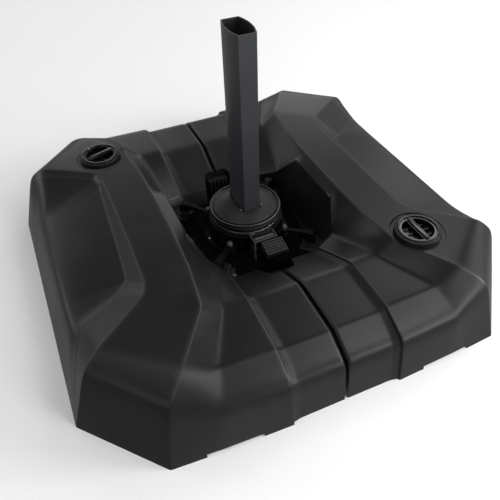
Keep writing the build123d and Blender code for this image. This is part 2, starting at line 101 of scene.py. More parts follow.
def bevel(obj, width, segments, angle, harden=True):
    """Round the edges that are sharper than the angle."""
    mod = obj.modifiers.new("bevel", "BEVEL")
    mod.width = width
    mod.segments = segments
    mod.limit_method = "ANGLE"
    mod.angle_limit = radians(angle)
    mod.harden_normals = harden


def baked(obj):
    """Mesh of an object with its modifiers applied."""
    graph = bpy.context.evaluated_depsgraph_get()
    return bpy.data.meshes.new_from_object(obj.evaluated_get(graph))


def temp_object(mesh):
    """Linked object that isn't a piece."""
    obj = bpy.data.objects.new("temp", mesh)
    bpy.context.scene.collection.objects.link(obj)
    return obj


def lathe(name, profile, steps, centre=(0, 0), unit=MM):
    """Mesh turned about a vertical axis from a closed line of (radius, height) points."""
    verts, faces = [], []
    count = len(profile)
    for step in range(steps):
        turn = tau * step / steps
        verts += [(centre[0] + r * unit * cos(turn), centre[1] + r * unit * sin(turn), z * unit)
                  for r, z in profile]
    for step in range(steps):
        after = (step + 1) % steps
        for i in range(count):
            j = (i + 1) % count
            faces.append((step * count + i, after * count + i, after * count + j, step * count + j))
    return mesh_from(name, verts, faces)


def rounded(outline, radius, steps=4):
    """Closed (a, b) outline with every corner replaced by an arc of up to the radius."""
    points = []
    count = len(outline)
    for i, corner in enumerate(outline):
        p = Vector(corner)
        before, after = Vector(outline[i - 1]) - p, Vector(outline[(i + 1) % count]) - p
        half = before.angle(after) / 2
        slope = abs(sin(half) / cos(half)) if cos(half) else 9    # 9 where the line is straight
        reach = min(radius / max(0.05, slope), before.length * 0.45, after.length * 0.45)
        a, b = p + before.normalized() * reach, p + after.normalized() * reach
        for step in range(steps + 1):
            t = step / steps
            points.append(a * (1 - t) ** 2 + p * 2 * t * (1 - t) + b * t ** 2)
    return [(q.x, q.y) for q in points]


def capped_rings(count, rings):
    """Faces of a closed tube of rings with the same count of points."""
    faces = [tuple(range(count))[::-1], tuple(range((rings - 1) * count, rings * count))]
    for k in range(rings - 1):
        for i in range(count):
            j = (i + 1) % count
            faces.append((k * count + i, k * count + j, (k + 1) * count + j, (k + 1) * count + i))
    return faces


def slab(name, outline, low, high, edge=0.0008, steps=2):
    """Closed mesh from a flat (a, b) outline, between two levels, with softened rims."""
    count = len(outline)
    centre = Vector((sum(p[0] for p in outline) / count, sum(p[1] for p in outline) / count))
    normals = []
    for i in range(count):
        along = Vector(outline[(i + 1) % count]) - Vector(outline[i - 1])
        normals.append(Vector((-along.y, along.x)).normalized())
    sign = -1 if (Vector(outline[0]) - centre).dot(normals[0]) > 0 else 1
    levels = [(edge * (1 - sin(k * pi / 2 / steps)), low + edge * (1 - cos(k * pi / 2 / steps)))
              for k in range(steps + 1)]
    levels += [(inset, high + low - z) for inset, z in reversed(levels)]
    verts = [(p[0] + sign * n.x * inset, p[1] + sign * n.y * inset, z)
             for inset, z in levels for p, n in zip(outline, normals)]
    return mesh_from(name, verts, capped_rings(count, len(levels)))


def box_mesh(bm, low, high):
    """Add an axis-aligned box to a bmesh."""
    middle = (Vector(low) + Vector(high)) / 2
    size = Vector(high) - Vector(low)
    made = bmesh.ops.create_cube(bm, size=1.0)
    bmesh.ops.scale(bm, vec=size, verts=made["verts"])
    bmesh.ops.translate(bm, vec=middle, verts=made["verts"])
    return made["verts"]


def boxes(name, corners):
    """Mesh of boxes, each given by its low and high corner."""
    bm = bmesh.new()
    for low, high in corners:
        box_mesh(bm, low, high)
    return to_mesh(name, bm)


def turned_box(bm, low, high, angle):
    """Add a box turned about the mast axis by an angle in radians."""
    verts = box_mesh(bm, low, high)
    bmesh.ops.rotate(bm, verts=verts, cent=(0, 0, 0), matrix=Matrix.Rotation(angle, 3, "Z"))


def turned(points, angle):
    """Points turned about the mast axis by an angle in degrees."""
    spin = Matrix.Rotation(radians(angle), 3, "Z")
    return [spin @ Vector(p) for p in points]


# ---------------------------------------------------------------- materials
def node_material(name):
    """New material, its node tree and its shader."""
    material = bpy.data.materials.new(name)
    material.use_nodes = True
    tree = material.node_tree
    return material, tree, tree.nodes["Principled BSDF"]


def add_noise(tree, vector, scale, detail, roughness=0.5):
    """Factor output of a noise texture."""
    noise = tree.nodes.new("ShaderNodeTexNoise")
    noise.inputs["Scale"].default_value = scale
    noise.inputs["Detail"].default_value = detail
    noise.inputs["Roughness"].default_value = roughness
    tree.links.new(vector, noise.inputs["Vector"])
    return noise.outputs["Fac"]


def add_ramp(tree, factor, colours, places=(0, 1)):
    """Colour output that runs from one colour to the other."""
    ramp = tree.nodes.new("ShaderNodeValToRGB")
    for element, colour, place in zip(ramp.color_ramp.elements, colours, places):
        element.position = place
        element.color = (*colour, 1)
    tree.links.new(factor, ramp.inputs["Fac"])
    return ramp.outputs["Color"]


def add_range(tree, value, **limits):
    """Map range node, with its limits by socket name (From_Min and so on)."""
    spread = tree.nodes.new("ShaderNodeMapRange")
    for socket, limit in limits.items():
        spread.inputs[socket.replace("_", " ")].default_value = limit
    tree.links.new(value, spread.inputs["Value"])
    return spread


def add_painted_edge_highlight(tree, colour, painted_highlight, edges):
    """Colour output that turns into a painted highlight colour on convex edges or on marked ones."""
    if edges == "convex":
        value = tree.nodes.new("ShaderNodeNewGeometry").outputs["Pointiness"]
        share = add_range(tree, value, From_Min=0.53, From_Max=0.62)
    else:
        marked = tree.nodes.new("ShaderNodeAttribute")
        marked.attribute_name = edges
        share = add_range(tree, marked.outputs["Fac"], From_Min=0.15)
    share.interpolation_type = "SMOOTHSTEP"
    mix = tree.nodes.new("ShaderNodeMixRGB")
    mix.inputs["Color2"].default_value = (*painted_highlight, 1)
    tree.links.new(share.outputs["Result"], mix.inputs["Fac"])
    tree.links.new(colour, mix.inputs["Color1"])
    return mix.outputs["Color"]


def moulded_plastic(name, dark, light, rough=(0.38, 0.5), grain=0.00012, cell=900, specular=0.5,
                    painted_highlight=None, edges="convex"):
    """Moulded plastic: fine grain, slow tone drift and slightly uneven gloss.

    Painted highlight is a light colour painted on edges in place of light caught there: convex ones, or those
    marked by a mesh attribute.
    """
    material, tree, shader = node_material(name)
    link = tree.links.new
    place = tree.nodes.new("ShaderNodeTexCoord").outputs["Object"]
    fine = add_noise(tree, place, cell, 3)
    slow = add_noise(tree, place, 9, 9, 0.62)
    colour = add_ramp(tree, slow, (dark, light), (0.32, 0.68))
    # Edges get a lighter colour: a painted highlight
    if painted_highlight:
        colour = add_painted_edge_highlight(tree, colour, painted_highlight, edges)
    link(colour, shader.inputs["Base Color"])
    gloss = add_range(tree, slow, To_Min=rough[0], To_Max=rough[1])
    link(gloss.outputs["Result"], shader.inputs["Roughness"])
    bump = tree.nodes.new("ShaderNodeBump")
    bump.inputs["Distance"].default_value = grain
    bump.inputs["Strength"].default_value = 0.6
    link(fine, bump.inputs["Height"])
    link(bump.outputs["Normal"], shader.inputs["Normal"])
    shader.inputs["Specular IOR Level"].default_value = specular
    return material


def metal(name, colour, rough=(0.25, 0.4)):
    """Plated or brushed metal with faint streaks."""
    material, tree, shader = node_material(name)
    stretch = tree.nodes.new("ShaderNodeMapping")
    stretch.inputs["Scale"].default_value = (60, 60, 900)
    tree.links.new(tree.nodes.new("ShaderNodeTexCoord").outputs["Object"], stretch.inputs["Vector"])
    streaks = add_noise(tree, stretch.outputs["Vector"], 4, 5)
    dark = [c * 0.8 for c in colour]
    tree.links.new(add_ramp(tree, streaks, (dark, colour)), shader.inputs["Base Color"])
    gloss = add_range(tree, streaks, To_Min=rough[0], To_Max=rough[1])
    tree.links.new(gloss.outputs["Result"], shader.inputs["Roughness"])
    shader.inputs["Metallic"].default_value = 1.0
    return material


# Tank plastic; a lighter colour is painted along the marked creases as a highlight
TANK = moulded_plastic("tank_plastic", (0.0044, 0.0046, 0.0051), (0.0080, 0.0083, 0.0092), (0.26, 0.42),
                       specular=0.23, painted_highlight=(0.034, 0.035, 0.038), edges="painted_highlight")
HUB = moulded_plastic("hub_plastic", (0.0022, 0.0022, 0.0024), (0.0040, 0.0040, 0.0044), (0.34, 0.46),
                      cell=1400, specular=0.2)
# Near-black, duller copy of the hub plastic for the stays, drum, housing, latch and the tread's web: partly
# their own black, partly painted shade of the well and recesses; convex edges get a painted highlight
BLACK_AND_SHADE = moulded_plastic("black_plastic_and_shade", (0.0012, 0.0012, 0.0013), (0.0020, 0.0020, 0.0022), (0.40, 0.5),
                        cell=1400, specular=0.08, painted_highlight=(0.020, 0.020, 0.021))
# Its convex edges get a lighter colour as a painted highlight
PAD = moulded_plastic("pad_plastic", (0.0016, 0.0016, 0.0018), (0.0026, 0.0026, 0.0028), (0.40, 0.5),
                      specular=0.1, painted_highlight=(0.030, 0.030, 0.031))
# Coated steel of the hub plate and cross bars, darkened far below the mast's powder coat and nearly without
# gloss so the well's floor reads black: painted shade
PLATE_SHADED = moulded_plastic("plate_coat_painted_shade", (0.0010, 0.0010, 0.0011), (0.0018, 0.0018, 0.0020), (0.6, 0.75),
                        cell=1800, specular=0.03)
# Its convex edges get a light colour as a painted highlight
DOME = moulded_plastic("dome_plastic", (0.0050, 0.0052, 0.0057), (0.0072, 0.0075, 0.0083), (0.42, 0.5),
                       cell=1400, specular=0.26, painted_highlight=(0.18, 0.18, 0.185))
# Its convex edges, the rim's lip, get a near-white colour as a painted highlight
COVER = moulded_plastic("cover_plastic", (0.0050, 0.0051, 0.0054), (0.0070, 0.0072, 0.0076), (0.26, 0.36),
                        cell=1400, specular=0.45, painted_highlight=(0.30, 0.30, 0.31))
# Its convex edges, the pedal block's frame, get a light colour as a painted highlight
FRAME = moulded_plastic("frame_plastic", (0.0040, 0.0041, 0.0044), (0.0060, 0.0062, 0.0066), (0.26, 0.36),
                        cell=1400, specular=0.4, painted_highlight=(0.15, 0.15, 0.155))
CAP = moulded_plastic("cap_plastic", (0.0016, 0.0016, 0.0018), (0.0028, 0.0028, 0.0031), (0.10, 0.18),
                      grain=0.00003)
KNOB = moulded_plastic("knob_plastic", (0.040, 0.040, 0.042), (0.055, 0.055, 0.058), (0.2, 0.3))
COAT = moulded_plastic("powder_coat", (0.020, 0.021, 0.0235), (0.025, 0.0262, 0.029), (0.33, 0.42),
                       grain=0.0001, cell=2200, specular=0.35)
RUBBER = moulded_plastic("soft_rubber", (0.006, 0.006, 0.0065), (0.009, 0.009, 0.0095), (0.55, 0.7),
                         grain=0.0002, cell=1800, specular=0.2)
TREAD = moulded_plastic("tread_rubber", (0.030, 0.030, 0.032), (0.038, 0.038, 0.040), (0.4, 0.55),
                        grain=0.0002, cell=1800, specular=0.3)
ZINC = metal("zinc_plate", (0.52, 0.52, 0.54))

# ---------------------------------------------------------------- finishes
BODY_OF = {node: body for body, nodes in frame["record"]["behaviour"]["bodies"].items() for node in nodes}

# Starts of node names with their material and slot; the first match counts
FINISHES = [
    (("stay_knobs",), KNOB, "grey_plastic"),
    (("stay_", "turntable", "hub_housing", "tank_link"), BLACK_AND_SHADE, "hub_plastic"),
    (("tank_left", "tank_right", "neck_ring"), TANK, "tank_plastic"),
    (("fill_cap",), CAP, "cap_plastic"),
    (("hub_plate", "cross_bar"), PLATE_SHADED, "coated_steel"),
    (("mast_socket", "mast_tube"), COAT, "coated_steel"),
    (("cover_dome",), DOME, "hub_plastic"),
    (("rim_ring",), COVER, "hub_plastic"),
    (("pedal_block",), FRAME, "hub_plastic"),
    (("shelf_pads",), PAD, "hub_plastic"),
    (("pedal_tread",), TREAD, "soft_rubber"),
    (("cap_gasket", "bar_foot"), RUBBER, "soft_rubber"),
    (("plate_bolts", "pivot_post", "flange_screws", "retaining", "pedal_pin", "lock_pin", "mast_screws",
      "index_plate"), ZINC, "plated_steel"),
]


def finish_of(node):
    """Material and material slot of a node."""
    for starts, material, slot in FINISHES:
        if node.startswith(starts):
            return material, slot
    return HUB, "hub_plastic"


for node, obj in frame["nodes"].items():
    obj.data.materials.clear()
    obj.data.materials.append(finish_of(node)[0])


def new_piece(name, mesh, node, angle):
    """Link a mesh as the piece that stands in for a CAD node, with its body and material.

    Edges sharper than the angle stay crisp, and the others are shaded smooth.
    """
    smooth(mesh, angle)
    obj = bpy.data.objects.new(name, mesh)
    bpy.context.scene.collection.objects.link(obj)
    material, slot = finish_of(node)
    obj.data.materials.clear()
    obj.data.materials.append(material)
    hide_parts(node)
    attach(obj, BODY_OF[node])
    return obj


# ---------------------------------------------------------------- tank shells
# Points (x, y, z) in millimetres of each column of the right tank's deck, from its middle to its end.
# The +Y end is plain. The -Y end, beside the filler cap, has its own points for three columns.
ROWS = ["mid", "lip", "crest", "brow", "knee", "foot"]
PLAIN_END = {
    "seam": [None, (8, 165, 80), (8, 287, 137), (8, 417, 132), (8, 480, 94), (8, 492, 0)],
    "band": [None, (92, 165, 80), (102, 287, 137), (102, 417, 132), (102, 480, 94), (102, 492, 0)],
    "step": [None, (109, 153, 88), (119, 287, 146), (119, 417, 141), (119, 486, 103), (119, 500, 0)],
    "cove": [(172, 72, 166), (142, 116, 112), (172, 286, 147), (232, 418, 146), (250, 482, 106),
             (254, 495, 0)],
    "ridge_in": [(200, 75, 177), (202, 185, 177), (216, 298, 177), (293, 409, 170), (337, 456, 135),
                 (361, 488, 0)],
    "ridge_out": [(294, 75, 177), (296, 188, 177), (307, 222, 177), (420, 308, 170), (457, 328, 135),
                  (500, 331, 0)],
    "scoop": [(320, 75, 148), (326, 137, 144), (352, 163, 142), (437, 222, 135), (471, 288, 90),
              (500, 325, 0)],
    "shoulder": [(450, 75, 121), (450, 130, 121), (450, 165, 121), (452, 205, 119), (477, 272, 74),
                 (500, 312, 0)],
    "side": [(463, 75, 107), (463, 130, 107), (463, 165, 107), (464, 200, 105), (485, 262, 50),
             (500, 297, 0)],
    "floor": [(500, 75, 0), (500, 130, 0), (500, 165, 0), (500, 200, 0), (500, 255, 0), (500, 280, 0)],
}
CAP_END = {
    "step": [None, (112, 166, 88)] + PLAIN_END["step"][2:],
    "cove": [(172, 103, 166), (158, 146, 96)] + PLAIN_END["cove"][2:],
    "scoop": [(312, 75, 158), (306, 176, 166), (314, 213, 168), (426, 294, 160), (462, 316, 124),
              (500, 326, 0)],
}
# How far the corner reaches along each column and row, mm
COLUMN_ROUND = {"edge": 1, "seam": 3, "band": 7, "ledge": 2, "step": 2.5, "cove": 14, "ridge_in": 4,
                "ridge_out": 4, "scoop": 6, "shoulder": 40, "side": 50, "floor": 2}
ROW_ROUND = {"mid": 0, "lip": 9, "crest": 24, "brow": 30, "knee": 45, "foot": 2}
CRISP_ROW_ROUND = {**ROW_ROUND, "brow": 9, "knee": 28}    # for the columns below the ridge
CRISP_COLUMNS = ("edge", "seam", "band", "ledge", "step", "cove")
# Share of the painted highlight, a lighter colour along the crease, on each column's line
HIGHLIGHT_COLUMNS = {"seam": 0.7, "step": 1.0, "ridge_in": 0.8, "ridge_out": 0.7, "scoop": 0.5}
BARE_SPAN, CORNER_SPAN = {"shoulder", "side"}, {"brow", "knee"}
LONGEST_SUPPORT, PLAIN_SUPPORT = 0.42, 0.3    # places of the inserted points, as shares of a span
CORNER_BULGE = 3.5                            # swell between brow and knee, mm
EDGE_DROP = 3.5                               # how far the seam's edge lies below the deck, mm
LEDGE_SHIFT, LEDGE_DROP = 0.18, 0.68          # foot of the step, as shares of its run and rise
WELL_SHARES = (0.08, 0.5, 0.95, 1)            # levels of the well's wall, from the deck to the floor
# Outline of the well's floor in one quarter, mm
THROAT = [(4, 142), (8, 142), (92, 142), (112.5, 135.4), (117, 134), (134, 117), (134, 72)]


def deck_point(column, at, side):
    """Millimetre position of one column's point in a row, None over the well."""
    if column == "ledge":
        step, band = deck_point("step", at, side), deck_point("band", at, side)
        if step is None:
            return None
        return Vector((step.x + (band.x - step.x) * LEDGE_SHIFT, *step.lerp(band, LEDGE_DROP).yz))
    source = "seam" if column == "edge" else column
    table = CAP_END if side < 0 and source in CAP_END else PLAIN_END
    point = table[source][at]
    if point is None:
        return None
    if column == "edge":
        return Vector((SEAM_HALF / MM, side * point[1], max(point[2] - EDGE_DROP, 0)))
    return Vector((point[0], side * point[1], point[2]))


def deck_grid():
    """Rows (from -Y to +Y) of the deck's points in millimetres, and the names of columns and rows."""
    columns = list(COLUMN_ROUND)
    rows = []
    for side, names in ((-1, ROWS[::-1]), (1, ROWS)):
        rows += [[deck_point(column, ROWS.index(name), side) for column in columns] for name in names]
    return rows, columns, [*ROWS[::-1], *ROWS]


def with_supports(line, names, radii, bulge=0.0, crisp=False):
    """Insert two points in each span of a line, and tell where the line's own points went.

    The bulge swells the span between brow and knee, and only its knee half where it is crisp.
    """
    out, own = [], []
    for i, point in enumerate(line):
        own.append(len(out))
        out.append(point)
        span = names[i:i + 2]
        if i + 1 == len(line) or set(span) == BARE_SPAN:
            continue
        after = line[i + 1]
        if point is None or after is None:
            out += [None, None]
            continue
        length = max((after - point).length, TINY)
        first, last = (min(LONGEST_SUPPORT, radii[name] / length) if radii[name] else PLAIN_SUPPORT
                       for name in span)
        near = far = Vector()
        if bulge and set(span) == CORNER_SPAN:
            outwards = (point - line[i - 1]).normalized() + (after - line[i + 2]).normalized()
            swell = outwards.normalized() * bulge
            if not crisp or span[0] == "knee":
                near, first = swell, 1 / 3
            if not crisp or span[1] == "knee":
                far, last = swell, 1 / 3
        out += [point.lerp(after, first) + near, point.lerp(after, 1 - last) + far]
    return out, own


def refined_grid():
    """Deck grid with support lines, and the places of its own rows and columns in it."""
    rows, columns, row_names = deck_grid()
    wide = [with_supports(row, columns, COLUMN_ROUND) for row in rows]
    own_columns = wide[0][1]
    tall = []
    for c in range(len(wide[0][0])):
        crisp = c <= own_columns[len(CRISP_COLUMNS) - 1]
        tall.append(with_supports([row[0][c] for row in wide], row_names,
                                  CRISP_ROW_ROUND if crisp else ROW_ROUND, CORNER_BULGE, crisp))
    own_rows = tall[0][1]
    grid = [[line[0][r] for line in tall] for r in range(len(tall[0][0]))]
    return grid, own_rows, own_columns


def well_levels(grid, own_rows, own_columns):
    """Control points of the well's wall: the deck's lip, then lines down to the floor."""
    throat_z = THROAT_Z / MM
    mid = len(ROWS)
    low, high = own_rows[mid - 2], own_rows[mid + 1]
    inner_low, inner_high = own_rows[mid - 1], own_rows[mid]
    cove = own_columns[len(THROAT) - 2]
    lip = [(low, c) for c in range(cove + 1)]
    lip += [(r, cove) for r in range(low + 1, high)]
    lip += [(high, c) for c in range(cove, -1, -1)]
    anchors = {(inner_low, cove): Vector((THROAT[-1][0], -THROAT[-1][1], throat_z)),
               (inner_high, cove): Vector((*THROAT[-1], throat_z))}
    for column, (x, y) in zip(own_columns, THROAT[:-1]):
        anchors[low, column] = Vector((x, -y, throat_z))
        anchors[high, column] = Vector((x, y, throat_z))
    fixed = [i for i, key in enumerate(lip) if key in anchors]
    foot = []
    for start, end in zip(fixed, fixed[1:]):
        a, b = anchors[lip[start]], anchors[lip[end]]
        top_a, top_b = grid[lip[start][0]][lip[start][1]], grid[lip[end][0]][lip[end][1]]
        for i in range(start, end):
            here = grid[lip[i][0]][lip[i][1]]
            foot.append(a.lerp(b, (here - top_a).length / (top_b - top_a).length))
    foot.append(anchors[lip[fixed[-1]]])
    top = [grid[r][c] for r, c in lip]
    levels = [[a.lerp(b, share) for a, b in zip(top, foot)] for share in WELL_SHARES]
    levels += [[Vector((p.x, p.y, z)) for p in foot] for z in (throat_z - 3, 20, 0)]
    return lip, levels


def shell_surface():
    """Open, subdivided skin of one tank: the deck, its outer walls and the well's wall."""
    grid, own_rows, own_columns = refined_grid()
    share = {c: HIGHLIGHT_COLUMNS.get(name, 0) for name, c in zip(COLUMN_ROUND, own_columns)}
    # Rows that get the painted crease highlight
    highlight_rows = range(own_rows[1] + 1, own_rows[-2])    # none below the knees
    bm = bmesh.new()
    # Per-point share of the painted crease highlight, read by the tank material
    painted_highlight = bm.verts.layers.float.new("painted_highlight")
    made = {}
    for r, row in enumerate(grid):
        for c, point in enumerate(row):
            if point is not None:
                made[r, c] = bm.verts.new(point * MM)
                made[r, c][painted_highlight] = share.get(c, 0) if r in highlight_rows else 0
    for r in range(len(grid) - 1):
        for c in range(len(grid[0]) - 1):
            corners = [(r, c), (r, c + 1), (r + 1, c + 1), (r + 1, c)]
            if all(k in made for k in corners):
                bm.faces.new([made[k] for k in corners])
    lip, levels = well_levels(grid, own_rows, own_columns)
    above = [made[key] for key in lip]
    for level in levels:
        below = [bm.verts.new(point * MM) for point in level]
        for i in range(len(lip) - 1):
            bm.faces.new([above[i + 1], above[i], below[i], below[i + 1]])
        above = below
    obj = temp_object(to_mesh("shell", bm))
    mod = obj.modifiers.new("round", "SUBSURF")
    mod.levels = mod.render_levels = 2
    mod.boundary_smooth = "PRESERVE_CORNERS"
    mesh = baked(obj)
    bpy.data.objects.remove(obj)
    return mesh


def chain(edges, start):
    """Vertices in order along connected edges, from the start."""
    path, left = [start], set(edges)
    while True:
        step = next((e for e in path[-1].link_edges if e in left), None)
        if step is None:
            return path
        left.remove(step)
        path.append(step.other_vert(path[-1]))


def closed_shell():
    """The skin closed with the two seam walls and a flat bottom."""
    bm = bmesh.new()
    bm.from_mesh(shell_surface())
    near = 10 * TINY
    seam = [e for e in bm.edges if e.is_boundary and all(abs(v.co.x - SEAM_HALF) < near for v in e.verts)
            and not all(v.co.z < near for v in e.verts)]
    ends = {v for e in seam for v in e.verts if v.co.z < near}
    for side in (-1, 1):
        start = min((v for v in ends if v.co.y * side > 0), key=lambda v: abs(v.co.y))
        bm.faces.new(chain(seam, start))
    border = [e for e in bm.edges if e.is_boundary]
    loop = chain(border, border[0].verts[0])
    bm.faces.new(loop[:-1] if loop[0] == loop[-1] else loop)
    bmesh.ops.recalc_face_normals(bm, faces=bm.faces)
    bmesh.ops.triangulate(bm, faces=[f for f in bm.faces if len(f.verts) > 4])
    return to_mesh("closed_shell", bm)


def seam_notch(side):
    """Flared recess at one end of the well, open upwards."""
    half = [(0.052, 0.100), (0.052, 0.126), (0.033, 0.198), (0.025, 0.207)]
    outline = half + [(-x, y) for x, y in reversed(half)]
    outline = [(x, side * y) for x, y in rounded(outline, 0.006)]
    return slab("notch", outline, NOTCH_FLOOR_Z, NOTCH_TOP_Z)


def edge_arch(side):
    """Low arch that leaves two feet under the front or back edge."""
    inner, past_edge = 0.44, 0.52
    low, high = sorted((side * inner, side * past_edge))
    return boxes("arch", [((ARCH_LOW_X, low, BELOW), (ARCH_HIGH_X, high, ARCH_TOP_Z))])


def along_bar(name, angle, start, end, half, low, high):
    """Box that lies over one of the cross bars."""
    bm = bmesh.new()
    turned_box(bm, (start, -half, low), (end, half, high), radians(angle))
    return to_mesh(name, bm)


def neck_groove():
    """Shallow ring cut around the filler's collar."""
    low, floor, top, inside = GROOVE_FLOOR_Z - 0.02, GROOVE_FLOOR_Z, COLLAR_TOP_Z + 0.01, NECK_RING_R - 0.01
    profile = [(inside, top), (inside, low), (NECK_OUTER_R, low), (NECK_OUTER_R, floor),
               (GROOVE_R - 0.0015, floor), (GROOVE_R, floor + 0.0015), (GROOVE_R, top)]
    return lathe("groove", profile, 128, NECK, unit=1)


def neck_collar():
    """Collar that stands around the filler cap."""
    low, top, edge, inside = NECK_TOP_Z - 0.03, COLLAR_TOP_Z, 0.0014, NECK_RING_R - 0.002
    profile = [(inside, low), (NECK_OUTER_R, low), (NECK_OUTER_R, top - edge),
               (NECK_OUTER_R - edge * 0.3, top - edge * 0.3), (NECK_OUTER_R - edge, top), (inside, top)]
    return lathe("collar", profile, 128, NECK, unit=1)


def neck_bore():
    """Bore for the sleeve, and a slightly wider one above it for the cap."""
    low, top, centre = NECK_TOP_Z - 0.031, COLLAR_TOP_Z + 0.01, 0.0001
    profile = [(centre, low), (NECK_RING_R, low), (NECK_RING_R, NECK_TOP_Z), (COLLAR_INNER_R, NECK_TOP_Z),
               (COLLAR_INNER_R, top), (centre, top)]
    return lathe("bore", profile, 128, NECK, unit=1)


def tank_tools():
    """Meshes added to and taken out of a tank, in order."""
    tools = []
    for angle in (45, -45):
        shelf = along_bar("shelf", angle, SHELF_R, SHELF_END_R, CHANNEL_HALF + SHELL_WALL,
                          THROAT_Z - 0.006, SHELF_TOP_Z)
        channel = along_bar("channel", angle, 0, CHANNEL_END_R, CHANNEL_HALF, BELOW, CHANNEL_TOP_Z)
        tools += [("UNION", shelf), ("DIFFERENCE", channel)]
    for side in (-1, 1):
        tools += [("DIFFERENCE", seam_notch(side)), ("DIFFERENCE", edge_arch(side))]
    return tools + [("DIFFERENCE", neck_groove()), ("UNION", neck_collar()), ("DIFFERENCE", neck_bore())]


def outward(mesh):
    """Turn all faces of a closed mesh outwards."""
    bm = bmesh.new()
    bm.from_mesh(mesh)
    bmesh.ops.recalc_face_normals(bm, faces=bm.faces)
    bm.to_mesh(mesh)
    bm.free()
    return mesh


def combined(mesh, tools):
    """Apply (operation, tool mesh) booleans to a closed mesh, in order."""
    obj = temp_object(mesh)
    helpers = []
    for operation, tool in tools:
        helper = temp_object(outward(tool))
        helpers.append(helper)
        mod = obj.modifiers.new("cut", "BOOLEAN")
        mod.operation = operation
        mod.solver = "EXACT"
        mod.object = helper
    result = baked(obj)
    for helper in helpers + [obj]:
        bpy.data.objects.remove(helper)
    return result


def build_tanks():
    """Both tanks: the left one is the right one turned by half a turn."""
    right = combined(closed_shell(), tank_tools())
    right.name = "tank_shell"
    for side, turn in (("right", 0), ("left", pi)):
        mesh = right.copy()
        mesh.transform(Matrix.Rotation(turn, 4, "Z"))
        obj = new_piece(f"shell_{side}", mesh, f"tank_{side}", 38)
        bevel(obj, 0.0012, 2, 55, harden=False)


# ---------------------------------------------------------------- pieces made from their CAD solid
LARGE_HIDDEN = ("bar_end_cap", "cross_bar", "cap_gasket", "neck_ring")
SMALL_HIDDEN = ("pivot_post", "retaining", "plate_bolts", "mast_socket", "pedal_pin", "lock_pin",
                "pin_guide", "thrust_washer", "lower_bush", "upper_bush", "index_plate")


def softened(node, width, extra=None):
    """A node's own solid with rounded edges, and with extra closed shapes joined to it."""
    bm = bmesh.new()
    bm.from_mesh(frame["nodes"][node].data)
    bmesh.ops.remove_doubles(bm, verts=bm.verts, dist=TINY)
    bmesh.ops.dissolve_limit(bm, angle_limit=radians(2), verts=bm.verts, edges=bm.edges)
    if extra:
        bm.from_mesh(extra)
    obj = new_piece(f"{node}_finished", to_mesh(node, bm), node, 30)
    bevel(obj, width, 2, 30)


def ribs_around(radius, depth, width, low, high, angles):
    """Upright ribs standing out of a drum."""
    bm = bmesh.new()
    for angle in angles:
        turned_box(bm, (radius - 1 * MM, -width / 2, low), (radius + depth, width / 2, high), angle)
    return to_mesh("ribs", bm)


def build_plate():
    """Hub plate with a lip folded down along its front and back edge."""
    half, inner, outer, low, top = 0.098, 0.1368, 0.1392, 0.020, 0.047
    lips = boxes("lips", [((-half, -outer, low), (half, -inner, top)),
                          ((-half, inner, low), (half, outer, top))])
    softened("hub_plate", 0.8 * MM, lips)


def build_hidden():
    """Structure that shows only from below, through gaps or with the pieces apart."""
    for node in BODY_OF:
        for starts, width in ((LARGE_HIDDEN, 0.8), (SMALL_HIDDEN, 0.4)):
            if node.startswith(starts):
                softened(node, width * MM)


def build_bar_feet():
    """Rubber pads with a domed rim and a ring of grip grooves underneath."""
    profile = [(0.01, 0.8), (7, 0.8), (7, 0), (11, 0), (11, 0.8), (14, 0.8), (14, 0), (20.5, 0), (21.6, 0.5),
               (22, 1.5), (22, 5), (21.3, 6), (0.01, 6)]
    for place, angle in DIAGONALS.items():
        centre = turned([(BAR_END_R - FOOT_INSET, 0, 0)], angle)[0]
        new_piece(f"foot_pad_{place}", outward(lathe("foot", profile, 48, centre.xy)),
                  f"bar_foot_{place}", 40)


# ---------------------------------------------------------------- filler caps
def cap_disc():
    """Flange with a rounded rim and a sunken face, over a plug with thread grooves."""
    top, low, plug_low = CAP_TOP_Z / MM, NECK_TOP_Z / MM + 2.6, NECK_TOP_Z / MM - 20
    profile = [(0.01, plug_low), (37.4, plug_low), (38.5, plug_low + 1)]
    for z in (4, 9, 14):
        profile += [(38.5, plug_low + z), (37.4, plug_low + z + 1), (37.4, plug_low + z + 2),
                    (38.5, plug_low + z + 3)]
    profile += [(38.5, low), (43, low), (44, low + 0.8), (44, top - 1.4), (43.6, top - 0.4), (42.6, top),
                (40.4, top), (39.6, top - 0.4), (39.2, top - 1.3), (38.9, top - 3.1), (0.01, top - 3.1)]
    return lathe("cap", profile, 128)


def d_shape(radius, flat, steps=20):
    """Outline of the part of a disc beyond a straight line."""
    start = asin(flat / radius)
    sweep = pi - 2 * start
    return [(radius * cos(start + sweep * k / steps), radius * sin(start + sweep * k / steps))
            for k in range(steps + 1)]


def bar_shape(half_x, half_y, radius):
    """Outline of a rectangle with rounded corners, from millimetres."""
    x, y = half_x * MM, half_y * MM
    return rounded([(-x, -y), (x, -y), (x, y), (-x, y)], radius * MM)


def cap_tools():
    """Two pockets cut into a cap, then the grip bar and the ribs that stand in them."""
    top, floor = CAP_TOP_Z, NECK_TOP_Z - 8 * MM
    tools = []
    for flip in (1, -1):
        outline = [(x * flip, y * flip) for x, y in d_shape(34.5 * MM, 7 * MM)]
        tools.append(("DIFFERENCE", slab("pocket", outline, floor, top + 5 * MM, 0.5 * MM)))
    tools.append(("UNION", slab("grip", bar_shape(35, 4.6, 2), floor, top - 0.4 * MM, 0.8 * MM)))
    for place in (-16 * MM, 0, 16 * MM):
        outline = [(place + x, y) for x, y in bar_shape(1.2, 31, 0.8)]
        tools.append(("UNION", slab("rib", outline, floor - 1 * MM, floor + 5 * MM, 0.5 * MM)))
    return tools


